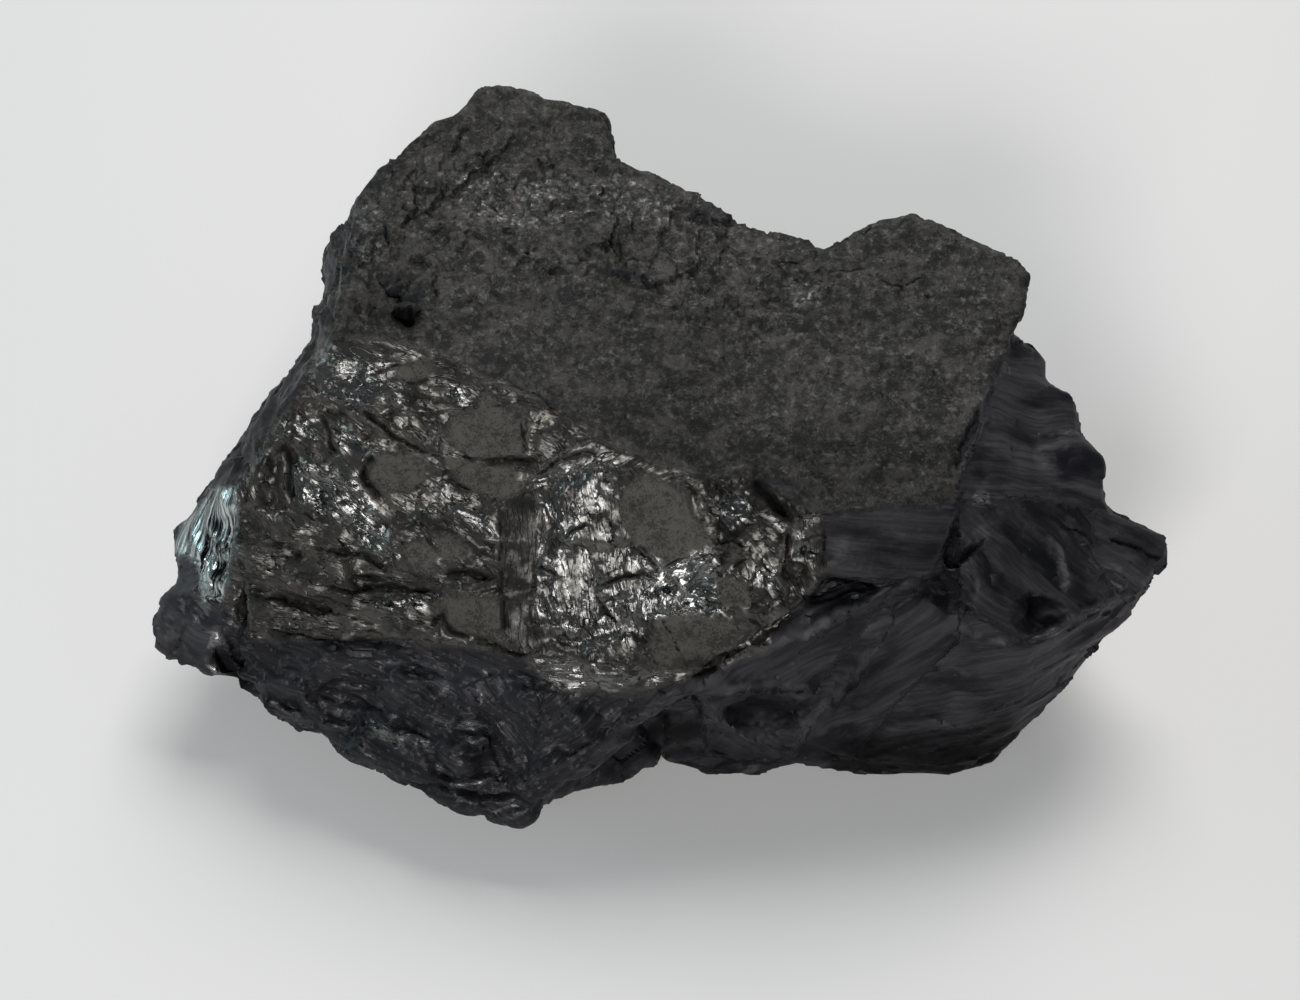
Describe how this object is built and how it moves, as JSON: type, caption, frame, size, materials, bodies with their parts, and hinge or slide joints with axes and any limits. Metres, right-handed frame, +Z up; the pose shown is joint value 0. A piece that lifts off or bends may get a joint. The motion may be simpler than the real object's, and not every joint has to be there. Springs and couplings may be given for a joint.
{
  "type": "coal lump",
  "caption": "Hand-sized broken lump of banded bituminous coal: a dull flat slab on top, a bright hackly face sloping to the front, a silky wing at the right and a flat foot.",
  "frame": {"origin": "on the surface that the lump rests on, under the middle of its bounding box", "axes": "+X to the right along the longest side, towards the wing; +Y to the back; +Z up; the bright sloping face looks towards -Y"},
  "size_m": [0.1152, 0.0728, 0.0507],
  "materials": {
    "coal": "broken, near black, bright and glossy on the fresh front face, dull grey on the top slab, silky at the right"
  },
  "bodies": {
    "root": {"coal_lump": "coal"}
  },
  "joints": []
}
